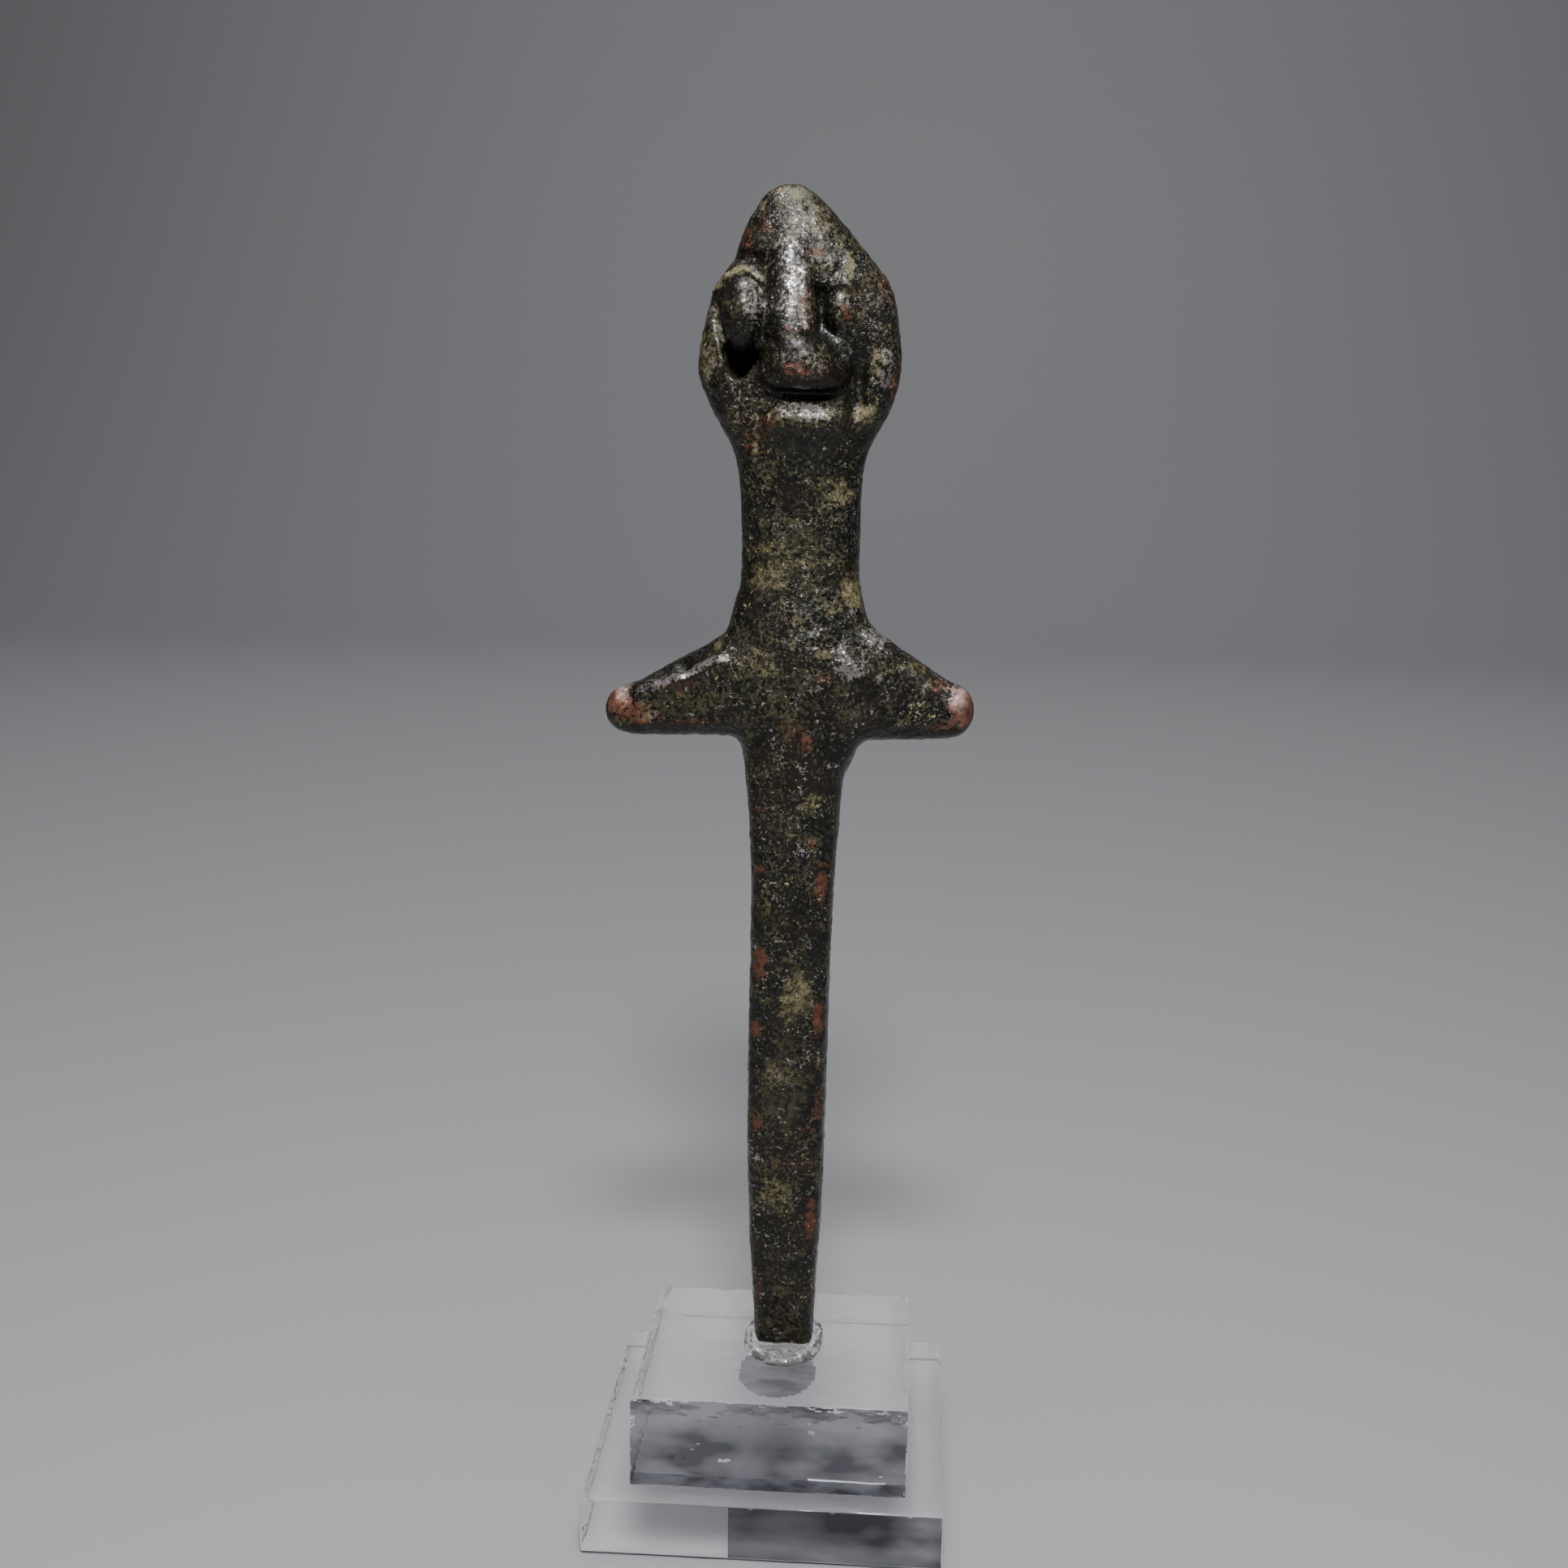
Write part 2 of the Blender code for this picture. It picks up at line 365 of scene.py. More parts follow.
def settled_mesh(source: bpy.types.Object,
                 modify: Callable[[bpy.types.Object], None]) -> bpy.types.Mesh:
    """Copies a node's mesh, welds it, adds modifiers and keeps what they make.

    Args:
        source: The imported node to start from, which isn't changed.
        modify: Adds the modifiers to the copy.

    Returns:
        The finished mesh.
    """
    bm = bmesh.new()
    bm.from_mesh(source.data)
    bmesh.ops.remove_doubles(bm, verts=bm.verts, dist=1e-7)
    mesh = bpy.data.meshes.new("working_copy")
    bm.to_mesh(mesh)
    bm.free()
    working = bpy.data.objects.new("working_copy", mesh)
    bpy.context.scene.collection.objects.link(working)
    modify(working)
    settled = working.evaluated_get(bpy.context.evaluated_depsgraph_get())
    finished = bpy.data.meshes.new_from_object(settled)
    bpy.data.objects.remove(working)
    return finished


def add_fine_skin(working: bpy.types.Object, step: float, rounds: int) -> None:
    """Gives a working copy one even skin and settles it.

    Args:
        working: The copy that gets the modifiers.
        step: The skin's grid step, in metres.
        rounds: How often it is smoothed.
    """
    skin = working.modifiers.new("fine_skin", "REMESH")
    skin.mode = "VOXEL"
    skin.voxel_size = step
    settle = working.modifiers.new("settle", "SMOOTH")
    settle.factor = 0.5
    settle.iterations = rounds


class NodeSheet:
    """Writes a material's nodes, one short call each."""

    speck_edge = 0.07
    grain_level = 0.66

    def __init__(self, name: str) -> None:
        """Starts a material with only its shader and output."""
        self.material = bpy.data.materials.new(name)
        self.material.use_nodes = True
        self.tree = self.material.node_tree
        self.shader = self.tree.nodes["Principled BSDF"]
        self.place = self.tree.nodes.new("ShaderNodeTexCoord").outputs["Object"]

    def set_plain(self, **values: float) -> None:
        """Sets sockets that are the same all over, by name with _ for a space."""
        for name, value in values.items():
            self.shader.inputs[name.replace("_", " ")].default_value = value

    def noise(self, wave: float, detail: float = 4.0, rough: float = 0.55,
              pull: float = 1.0) -> bpy.types.NodeSocket:
        """Noise with lumps about one wave apart.

        Args:
            wave: The distance from lump to lump, in metres.
            detail: How many finer layers it has.
            rough: How strong the finer layers are.
            pull: How many times longer than tall its lumps are, along x.

        Returns:
            A socket with values about 0.5.
        """
        node = self.tree.nodes.new("ShaderNodeTexNoise")
        node.inputs["Scale"].default_value = 1 / wave
        node.inputs["Detail"].default_value = detail
        node.inputs["Roughness"].default_value = rough
        pulled = self.tree.nodes.new("ShaderNodeVectorMath")
        pulled.operation = "MULTIPLY"
        pulled.inputs[1].default_value = (1 / pull, 1.0, 1.0)
        self.tree.links.new(self.place, pulled.inputs[0])
        self.tree.links.new(pulled.outputs["Vector"], node.inputs["Vector"])
        return node.outputs["Fac"]

    def specks(self, specks: Specks) -> bpy.types.NodeSocket:
        """Small uneven specks that gather in clumps: 1 on the specks and 0 between them."""
        gathered = self.steps(self.noise(specks.clump, 2.0), 0.32, 0.68, 0.0, 0.20)
        cloud = self.sum_up("ADD", self.noise(specks.wave, 2.5, 0.6), gathered)
        return self.steps(cloud, specks.level, specks.level + self.speck_edge)

    def broken(self, deposit: Deposit, grains: Grains) -> bpy.types.NodeSocket:
        """Breaks a kept deposit up into grains: more of them where it is strong.

        Args:
            deposit: The deposit.
            grains: How it breaks up.

        Returns:
            A socket that is 1 on the deposit's grains.
        """
        shift = self.sum_up("MULTIPLY", self.kept(deposit), grains.reach)
        cloud = self.sum_up("ADD", self.noise(grains.wave, 5.0, 0.75), shift)
        return self.steps(cloud, self.grain_level, self.grain_level + grains.soft)

    def kept(self, deposit: Deposit) -> bpy.types.NodeSocket:
        """The value that the mesh keeps for a deposit."""
        node = self.tree.nodes.new("ShaderNodeAttribute")
        node.attribute_name = deposit.value
        return node.outputs["Fac"]

    def steps(self, value: bpy.types.NodeSocket, low: float, high: float, start: float = 0.0,
              end: float = 1.0) -> bpy.types.NodeSocket:
        """Maps low..high of a value to start..end, and stops there."""
        node = self.tree.nodes.new("ShaderNodeMapRange")
        node.inputs["From Min"].default_value = low
        node.inputs["From Max"].default_value = high
        node.inputs["To Min"].default_value = start
        node.inputs["To Max"].default_value = end
        self.tree.links.new(value, node.inputs["Value"])
        return node.outputs["Result"]

    def fade(self, value: bpy.types.NodeSocket, start: float, end: float) -> bpy.types.NodeSocket:
        """Maps 0..1 of a value to start..end."""
        return self.steps(value, 0.0, 1.0, start, end)

    def sum_up(self, how: str, one: bpy.types.NodeSocket,
               other: bpy.types.NodeSocket | float) -> bpy.types.NodeSocket:
        """Joins two values, such as by MULTIPLY, ADD or MAXIMUM, and keeps the result in 0..1."""
        node = self.tree.nodes.new("ShaderNodeMath")
        node.operation = how
        node.use_clamp = True
        self.tree.links.new(one, node.inputs[0])
        if isinstance(other, float):
            node.inputs[1].default_value = other
        else:
            self.tree.links.new(other, node.inputs[1])
        return node.outputs["Value"]

    def blend(self, share: bpy.types.NodeSocket, one: Colour | bpy.types.NodeSocket,
              other: Colour | bpy.types.NodeSocket) -> bpy.types.NodeSocket:
        """Mixes two colours by a share."""
        node = self.tree.nodes.new("ShaderNodeMix")
        node.data_type = "RGBA"
        self.tree.links.new(share, node.inputs["Factor"])
        for index, colour in ((6, one), (7, other)):
            if isinstance(colour, tuple):
                node.inputs[index].default_value = (*colour, 1.0)
            else:
                self.tree.links.new(colour, node.inputs[index])
        return node.outputs[2]

    def paint(self, colour: Colour) -> None:
        """Sets one plain colour all over."""
        self.shader.inputs["Base Color"].default_value = (*colour, 1.0)

    def feed(self, name: str, value: bpy.types.NodeSocket) -> None:
        """Links a value to one of the shader's sockets."""
        self.tree.links.new(value, self.shader.inputs[name])

    def bump(self, height: bpy.types.NodeSocket, depth: float, strength: float) -> None:
        """Gives the shader fine relief from a height value."""
        node = self.tree.nodes.new("ShaderNodeBump")
        node.inputs["Strength"].default_value = strength
        node.inputs["Distance"].default_value = depth
        self.tree.links.new(height, node.inputs["Height"])
        self.tree.links.new(node.outputs["Normal"], self.shader.inputs["Normal"])


@dataclass(frozen=True)
class PatinatedBronze:
    """Old cast bronze: green-black patina, olive and ochre crust, red oxide, worn copper, painted
    shade and highlight.
    """

    black: Colour = (0.0030, 0.0031, 0.0026)
    brown: Colour = (0.0110, 0.0070, 0.0040)
    green: Colour = (0.0105, 0.0120, 0.0080)
    olive: Colour = (0.050, 0.047, 0.023)
    ochre: Colour = (0.098, 0.080, 0.032)
    cream: Colour = (0.30, 0.265, 0.145)
    oxide: Colour = (0.072, 0.020, 0.006)
    rust: Colour = (0.085, 0.026, 0.013)
    copper: Colour = (0.31, 0.130, 0.090)
    # Painted highlight: pale copper, mainly on the arm tips
    painted_highlight_copper: Colour = (0.80, 0.55, 0.48)
    polish: Colour = (0.37, 0.335, 0.335)
    crust_grains: Grains = Grains(0.60 * MM, 0.28)
    oxide_grains: Grains = Grains(0.60 * MM, 0.30)
    worn_grains: Grains = Grains(0.60 * MM, 0.34, 0.24)
    polish_grains: Grains = Grains(0.50 * MM, 0.21, 0.10)
    olive_grains: Grains = Grains(0.80 * MM, 0.24)
    cream_grains: Grains = Grains(0.42 * MM, 0.15)
    polish_specks: Specks = Specks(0.38 * MM, 0.76, 2.0 * MM)
    olive_specks: Specks = Specks(0.40 * MM, 0.66, 2.6 * MM)
    cream_specks: Specks = Specks(0.42 * MM, 0.80, 3.4 * MM)
    patina_metallic: float = 0.35
    bare_metallic: float = 0.9
    roughness: tuple[float, float] = (0.22, 0.42)
    crust_rougher: float = 0.32
    worn_rougher: float = 0.20
    bare_smoother: float = 0.09
    rubbed_grain: float = 0.45
    grain: float = 0.36 * MM
    grain_depth: float = 0.17 * MM

    def colour(self, sheet: NodeSheet, crust: bpy.types.NodeSocket, oxide: bpy.types.NodeSocket,
               worn: bpy.types.NodeSocket, polished: bpy.types.NodeSocket) -> bpy.types.NodeSocket:
        """Lays the colours over each other, from the black patina up.

        Args:
            sheet: The material's nodes.
            crust: Where ochre crust lies.
            oxide: Where red oxide shows.
            worn: Where copper is worn bare.
            polished: Where handling has polished the patina.

        Returns:
            The colour.
        """
        colour = sheet.blend(sheet.steps(sheet.noise(4.5 * MM), 0.40, 0.60), self.black, self.brown)
        leaf = sheet.steps(sheet.noise(0.9 * MM, 4.0, 0.7), 0.50, 0.66)
        colour = sheet.blend(leaf, colour, self.green)
        olive = sheet.broken(Deposit.OLIVE, self.olive_grains)
        colour = sheet.blend(sheet.sum_up("MULTIPLY", olive, 0.75), colour, self.olive)
        colour = sheet.blend(sheet.specks(self.olive_specks), colour, self.olive)
        colour = sheet.blend(polished, colour, self.polish)
        colour = sheet.blend(oxide, colour, self.oxide)
        colour = sheet.blend(sheet.sum_up("MULTIPLY", crust, 0.85), colour, self.ochre)
        pale = sheet.broken(Deposit.OCHRE, self.cream_grains)
        colour = sheet.blend(sheet.sum_up("MULTIPLY", pale, 0.8), colour, self.cream)
        colour = sheet.blend(sheet.specks(self.cream_specks), colour, self.cream)
        fresh = sheet.steps(sheet.noise(1.3 * MM, 4.0, 0.7), 0.36, 0.58)
        return sheet.blend(worn, colour, sheet.blend(fresh, self.rust, self.copper))

    def material(self) -> bpy.types.Material:
        """Builds the patina from the values kept on the casting and from fine noise."""
        sheet = NodeSheet("patinated_bronze")
        crust = sheet.broken(Deposit.OCHRE, self.crust_grains)
        oxide = sheet.broken(Deposit.OXIDE, self.oxide_grains)
        worn = sheet.broken(Deposit.COPPER, self.worn_grains)
        polished = sheet.broken(Deposit.GLOSS, self.polish_grains)
        polished = sheet.sum_up("MAXIMUM", polished, sheet.specks(self.polish_specks))
        # Painted highlight: pale copper where copper wear and gloss meet, mainly on the arm tips
        tip_highlight = sheet.sum_up("MULTIPLY", worn, sheet.kept(Deposit.GLOSS))
        colour = self.colour(sheet, crust, oxide, worn, polished)
        colour = sheet.blend(tip_highlight, colour, self.painted_highlight_copper)
        # Painted shade: the colour goes towards black in hollows, on undersides and on listed spots
        sheet.feed("Base Color", sheet.blend(sheet.kept(Deposit.HOLLOW), colour, self.black))
        covered = sheet.sum_up("MAXIMUM", crust, oxide)
        bare = sheet.sum_up("MAXIMUM", worn, polished)
        metallic = sheet.sum_up("MAXIMUM", sheet.fade(covered, self.patina_metallic, 0.0),
                                sheet.fade(bare, 0.0, self.bare_metallic))
        sheet.feed("Metallic", metallic)
        rough = sheet.steps(sheet.noise(0.4 * MM, 3.0), 0.35, 0.65, *self.roughness)
        rough = sheet.sum_up("ADD", rough, sheet.fade(covered, 0.0, self.crust_rougher))
        rough = sheet.sum_up("ADD", rough, sheet.fade(worn, 0.0, self.worn_rougher))
        rough = sheet.sum_up("SUBTRACT", rough, sheet.fade(bare, 0.0, self.bare_smoother))
        sheet.feed("Roughness", rough)
        grain = sheet.sum_up("SUBTRACT", sheet.noise(self.grain, 3.0, 0.65), 0.5)
        rubbed = sheet.sum_up("MAXIMUM", sheet.kept(Deposit.GLOSS), sheet.kept(Deposit.COPPER))
        grain = sheet.sum_up("MULTIPLY", grain, sheet.steps(rubbed, 0.2, 1.0, 1.0, self.rubbed_grain))
        sheet.bump(grain, self.grain_depth, 1.0)
        sheet.set_plain(Specular_IOR_Level=0.5)
        return sheet.material


@dataclass(frozen=True)
class CutFinish:
    """How one cut looks: its blur, the share of light let through, and clouds if it has any."""

    cut: Cut
    roughness: float
    clearness: float
    dark: Colour | None = None
    light: Colour = (1.0, 1.0, 1.0)
    wave: float = 4.0 * MM


@dataclass(frozen=True)
class ClearAcrylic:
    """Clear cast sheet: see-through, milky where sanded, with painted dark reflection, a darker foot
    band and painted shadow.
    """

    tint: Colour = (0.975, 0.98, 0.985)
    ior: float = 1.49
    cloud_pull: float = 2.2
    cloud_levels: tuple[float, float] = (0.36, 0.66)
    finishes: Sequence[CutFinish] = (
        CutFinish(Cut.POLISHED, 0.015, 1.0),
        CutFinish(Cut.SANDED, 0.45, 0.14, (0.94, 0.93, 0.97), (0.985, 0.975, 1.0), 1.5 * MM),
        # Painted dark reflection on the fronts
        CutFinish(Cut.SAWN, 0.06, 1.0, (0.012, 0.012, 0.016), (0.19, 0.19, 0.22), 4.4 * MM),
        # Darker band along the foot of the upper block's front
        CutFinish(Cut.GLUED, 0.12, 0.95, (0.008, 0.008, 0.012), (0.10, 0.10, 0.13), 1.6 * MM),
        # Painted shadow: grey oval on the upper block's top
        CutFinish(Cut.STAINED, 0.05, 1.0, (0.14, 0.14, 0.16), (0.40, 0.40, 0.43), 2.0 * MM),
    )

    def material(self, finish: CutFinish) -> bpy.types.Material:
        """Builds the finish of one cut."""
        sheet = NodeSheet(f"{finish.cut.name.lower()}_acrylic")
        sheet.set_plain(Roughness=finish.roughness, IOR=self.ior, Transmission_Weight=finish.clearness)
        sheet.paint(self.tint)
        if finish.dark is not None:
            clouds = sheet.noise(finish.wave, 2.5, 0.50, self.cloud_pull)
            clouds = sheet.steps(clouds, *self.cloud_levels)
            sheet.feed("Base Color", sheet.blend(clouds, finish.dark, finish.light))
        sheet.bump(sheet.noise(1.4 * MM, 2.0, 0.4), 0.004 * MM, 0.5)
        return sheet.material

    def materials(self) -> list[bpy.types.Material]:
        """One material for each cut, in the order of their numbers."""
        return [self.material(finish) for finish in self.finishes]


@dataclass(frozen=True)
class ClearGel:
    """Clear mounting gel, a little cloudy and full of small ripples."""

    tint: Colour = (0.95, 0.955, 0.95)
    roughness: float = 0.06
    ior: float = 1.42
    clearness: float = 0.96
    ripple: float = 0.5 * MM
    ripple_depth: float = 0.06 * MM

    def material(self) -> bpy.types.Material:
        """Builds the gel."""
        sheet = NodeSheet("clear_gel")
        sheet.set_plain(Roughness=self.roughness, IOR=self.ior, Transmission_Weight=self.clearness)
        sheet.paint(self.tint)
        sheet.bump(sheet.noise(self.ripple, 3.0), self.ripple_depth, 0.7)
        return sheet.material


# Each deposit's patches, as Patch has them after the deposit
PATCH_ROWS: dict[Deposit, Sequence[tuple[float, ...]]] = {
    Deposit.OCHRE: (
        (-1.0, 129.2, 3.4, 2.0, 0.65), (-4.1, 127.7, 0.8, 0.8, 1.0),
        (1.9, 126.4, 2.0, 2.2, 0.7), (5.3, 121.4, 0.8, 1.8, 0.95),
        (-7.6, 120.1, 1.4, 0.8, 1.3, 0.7), (-5.8, 120.9, 1.6, 0.8, 1.3),
        (-4.1, 120.4, 1.0, 0.6, 0.8, -0.7), (-9.5, 112.2, 1.5, 3.8, 0.72),
        (8.3, 111.6, 1.2, 2.4, 0.8), (7.2, 106.7, 1.9, 1.7, 0.9),
        (-6.8, 106.4, 2.0, 2.0, 0.6), (-4.2, 103.2, 0.6, 1.8, 0.8),
        (5.0, 98.4, 1.9, 1.8, 0.85), (3.4, 99.6, 1.5, 1.0, 0.6),
        (-1.9, 92.6, 3.0, 1.3, 0.7), (-2.6, 89.8, 2.6, 2.2, 0.75),
        (0.6, 91.2, 2.2, 1.4, 0.6), (6.1, 87.9, 1.5, 2.6, 1.0),
        (4.0, 86.4, 2.0, 1.2, 0.75), (0.6, 85.0, 2.2, 1.8, 0.7),
        (-3.4, 80.4, 2.8, 2.2, 0.7), (-8.6, 82.4, 1.4, 0.8, 0.85),
        (3.8, 81.6, 1.8, 0.9, 0.7), (12.4, 80.0, 3.6, 1.2, 0.6),
        (-15.6, 74.8, 1.6, 1.4, 0.6), (2.2, 65.2, 1.9, 1.8, 0.8),
        (0.2, 61.6, 1.4, 1.4, 0.5), (-2.6, 52.6, 1.2, 1.8, 0.5),
        (1.0, 43.0, 2.4, 3.6, 0.9), (-0.9, 33.4, 2.8, 2.4, 0.65),
        (-0.7, 19.8, 2.6, 3.0, 0.8), (1.7, 1.9, 0.9, 3.2, 0.6),
    ),
    Deposit.OLIVE: (
        (-0.6, 129.0, 3.4, 2.2, 1.0), (-9.4, 112.6, 1.9, 5.0, 1.0),
        (-1.0, 92.0, 7.0, 8.0, 0.9), (-3.0, 77.6, 8.0, 4.0, 0.9),
        (11.0, 77.0, 6.0, 3.5, 0.6), (-12.4, 76.0, 4.0, 2.4, 1.0),
        (-0.4, 33.0, 4.0, 10.0, 1.0), (0.0, 62.0, 4.0, 8.0, 0.7),
        (6.0, 113.0, 3.0, 5.0, 0.5), (-5.8, 117.6, 2.4, 3.0, 0.8),
        (0.0, 104.0, 6.0, 4.0, 0.7),
    ),
    Deposit.COPPER: (
        (-19.0, 75.9, 2.2, 2.5, 0.9), (18.5, 75.8, 2.5, 2.8, 1.0),
        (15.8, 74.0, 2.2, 1.1, 0.6), (16.0, 78.2, 2.0, 1.4, 0.5),
        (0.0, 110.8, 1.8, 0.9, 0.35), (10.0, 109.8, 0.9, 2.6, 0.40),
        (2.4, 60.7, 0.8, 0.8, 0.7), (-5.2, 123.0, 0.8, 0.9, 0.45),
    ),
    Deposit.GLOSS: (
        # Gloss; the rows on the arm tips also place the painted highlight there
        (-0.9, 122.8, 1.8, 3.9, 0.68), (-1.0, 117.8, 1.4, 3.6, 0.75),
        (-0.6, 112.6, 1.6, 1.8, 0.6), (0.4, 107.2, 3.6, 1.1, 0.85),
        (-4.2, 117.8, 1.1, 2.2, 0.9), (-9.5, 117.4, 0.8, 2.4, 0.9),
        (-9.2, 112.4, 0.9, 3.6, 0.6), (9.2, 111.4, 1.2, 3.8, 0.8),
        (9.4, 117.4, 0.9, 1.6, 0.6), (4.8, 118.3, 0.8, 0.9, 0.7),
        (-11.8, 78.9, 4.6, 0.80, 1.4, 0.46), (-18.3, 77.2, 1.3, 1.5, 1.0),
        (17.6, 77.0, 1.4, 1.7, 0.9), (6.0, 96.0, 1.2, 4.0, 0.3),
        (6.2, 80.2, 2.4, 2.0, 1.0), (8.8, 83.2, 2.0, 1.6, 1.0),
        (1.8, 84.6, 3.4, 2.0, 0.5), (6.6, 86.0, 1.2, 1.4, 0.6),
        (-3.0, 97.0, 2.6, 5.0, 0.35), (-1.6, 62.0, 2.4, 6.0, 0.35),
    ),
    # Painted shade: above both arms, around the eye sockets, over and under the left pellet and beside
    # the nose
    Deposit.HOLLOW: (
        (-12.4, 80.6, 4.4, 0.9, 0.95, 0.5), (-6.2, 113.0, 1.9, 1.5, 0.9),
        (2.7, 117.0, 0.9, 3.6, 0.6), (-6.5, 119.2, 1.5, 1.6, 0.55),
        (3.6, 120.5, 1.8, 1.1, 0.45), (3.6, 114.2, 1.8, 1.5, 1.1, -1.1),
        (5.6, 112.6, 2.0, 3.8, 0.5), (13.0, 82.6, 4.0, 0.8, 0.5, -0.55),
    ),
    Deposit.OXIDE: (
        (-17.0, 74.8, 2.4, 1.8, 0.9), (-5.4, 124.2, 1.3, 2.2, 0.7),
        (-3.6, 125.4, 1.2, 1.4, 0.6), (2.0, 122.8, 1.4, 1.0, 0.8),
        (0.7, 117.6, 0.9, 2.2, 0.7), (0.4, 111.0, 2.6, 1.4, 0.7),
        (5.0, 116.9, 0.8, 1.8, 0.9), (10.2, 109.6, 0.8, 3.0, 0.9),
        (1.6, 71.6, 1.2, 1.8, 0.8), (-3.2, 57.4, 1.5, 0.8, 0.8),
        (3.5, 55.8, 0.9, 2.6, 1.0), (-3.2, 46.6, 1.1, 3.0, 1.0),
        (3.4, 40.6, 0.8, 2.8, 1.0), (-3.5, 38.8, 0.8, 1.8, 0.9),
        (3.5, 30.0, 0.7, 2.2, 0.9), (-3.4, 28.3, 0.8, 1.8, 0.9),
        (3.0, 16.8, 0.8, 4.4, 1.0), (-2.6, 8.0, 0.8, 2.4, 0.6),
    ),
}


@dataclass
class BronzeCasting:
    """The figure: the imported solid, remade as one fine skin and worked like old cast bronze."""

    node: str = "bronze_figure"
    fine_step: float = 0.262 * MM
    settle_rounds: int = 5
    seed: int = 11
    foot_band: float = 2 * MM
    swell: Lumps = Lumps(5.5 * MM, 0.09 * MM, 2, 20)
    ripple: Lumps = Lumps(1.5 * MM, 0.045 * MM, 2, 60)
    grit: Lumps = Lumps(0.70 * MM, 0.085 * MM, 2, 90)
    pits: Sequence[Pits] = (
        Pits(1.5 * MM, 0.62 * MM, 0.42, 0.15 * MM, 120),
        Pits(0.9 * MM, 0.36 * MM, 0.35, 0.0825 * MM, 160),
    )
    patch_reach: float = 1.25
    patch_ragged: float = 0.35
    crust_rise: float = 0.07 * MM
    crust_wave: float = 0.8 * MM
    rubbed_away: float = 0.65
    # Painted shade in hollows and on undersides: smoothing rounds, depths in millimetres and strengths
    hollow_rounds: int = 12
    hollow_depths: tuple[float, float] = (0.22, 0.80)
    hollow_shade_strength: float = 0.85
    under_shade_strength: float = 0.90
    finish: PatinatedBronze = field(default_factory=PatinatedBronze)
    spreads: Sequence[Spread] = (
        Spread(Deposit.OCHRE, 7.0 * MM, 3, 340, 0.5, 0.10, 0.80, 0.35),
        Spread(Deposit.OLIVE, 9.0 * MM, 2, 380, 0.6, -0.25, 0.35),
        Spread(Deposit.OXIDE, 4.6 * MM, 3, 420, 0.6, 0.34, 0.70),
    )
    strokes: Sequence[Stroke] = (
        Stroke((-8.6, 118.8), (-7.2, 120.4), 0.40, 0.34),
        Stroke((-7.2, 120.4), (-5.2, 120.8), 0.40, 0.36),
        Stroke((-5.2, 120.8), (-3.5, 119.7), 0.40, 0.36),
        Stroke((-9.0, 116.0), (-7.9, 111.4), 0.50, 0.22),
        Stroke((-8.5, 117.8), (-8.1, 114.4), 0.30, -0.40),
        Stroke((-7.4, 122.5), (-4.0, 122.3), 0.50, -0.42),
        Stroke((-4.6, 127.7), (-4.0, 127.3), 0.45, -0.40),
        Stroke((-2.9, 119.6), (-2.8, 115.6), 0.40, -0.15),
        Stroke((-8.3, 116.0), (-7.4, 112.8), 0.36, -0.65),
        Stroke((1.0, 121.0), (1.1, 115.0), 0.75, 0.60),
        Stroke((2.4, 119.3), (2.3, 114.9), 0.40, -0.35),
        Stroke((-2.9, 113.2), (-3.1, 110.2), 0.60, 0.50),
        Stroke((2.6, 119.5), (5.2, 119.6), 0.55, 0.45),
        Stroke((4.6, 120.3), (6.0, 118.4), 0.45, 0.20),
        Stroke((5.7, 109.6), (5.3, 103.0), 0.85, -0.20),
        Stroke((7.0, 114.0), (6.6, 107.4), 0.70, -0.22),
        Stroke((8.9, 118.4), (9.4, 112.0), 0.80, 0.20),
        Stroke((9.4, 112.0), (7.6, 106.4), 0.80, 0.24),
        Stroke((-4.1, 105.6), (-4.3, 101.6), 0.45, 0.24),
        Stroke((-16.6, 76.9), (-11.9, 78.3), 0.80, 0.50),
        Stroke((-11.9, 78.3), (-7.8, 80.4), 0.85, 0.55),
        Stroke((-16.2, 78.6), (-12.0, 79.8), 0.80, -0.55),
        Stroke((-12.0, 79.8), (-8.4, 82.2), 0.90, -0.65),
        Stroke((-15.4, 77.0), (-15.0, 75.0), 0.60, -0.22),
        Stroke((-16.4, 73.6), (-6.6, 73.7), 0.50, 0.20),
        Stroke((8.2, 73.5), (15.4, 74.3), 0.50, 0.20),
        Stroke((5.6, 80.6), (7.0, 79.4), 1.50, 0.50),
        Stroke((8.0, 83.6), (10.4, 81.8), 1.00, 0.42),
        Stroke((7.0, 82.4), (9.0, 79.6), 0.70, -0.36),
        Stroke((-0.6, 83.2), (2.6, 84.6), 0.60, -0.20),
        Stroke((4.2, 89.6), (5.4, 88.4), 0.70, -0.30),
    )
    patches: Sequence[Patch] = tuple(
        Patch(deposit, *row) for deposit, rows in PATCH_ROWS.items() for row in rows)

    def foot(self) -> Vector:
        """The middle of the foot, on the figure's axis."""
        low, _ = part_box(self.node)
        points = read_rows(bpy.data.objects[self.node].data, "co")
        near = points[points[:, 2] < low.z + self.foot_band, :2]
        across, deep = 0.5 * (near.min(0) + near.max(0))
        return Vector((across, deep, low.z))

    def add_skin(self, working: bpy.types.Object) -> None:
        """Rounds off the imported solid's facets and makes one fine, even skin."""
        rounds = working.modifiers.new("round_facets", "SUBSURF")
        rounds.levels = 1
        rounds.render_levels = 1
        add_fine_skin(working, self.fine_step, self.settle_rounds)

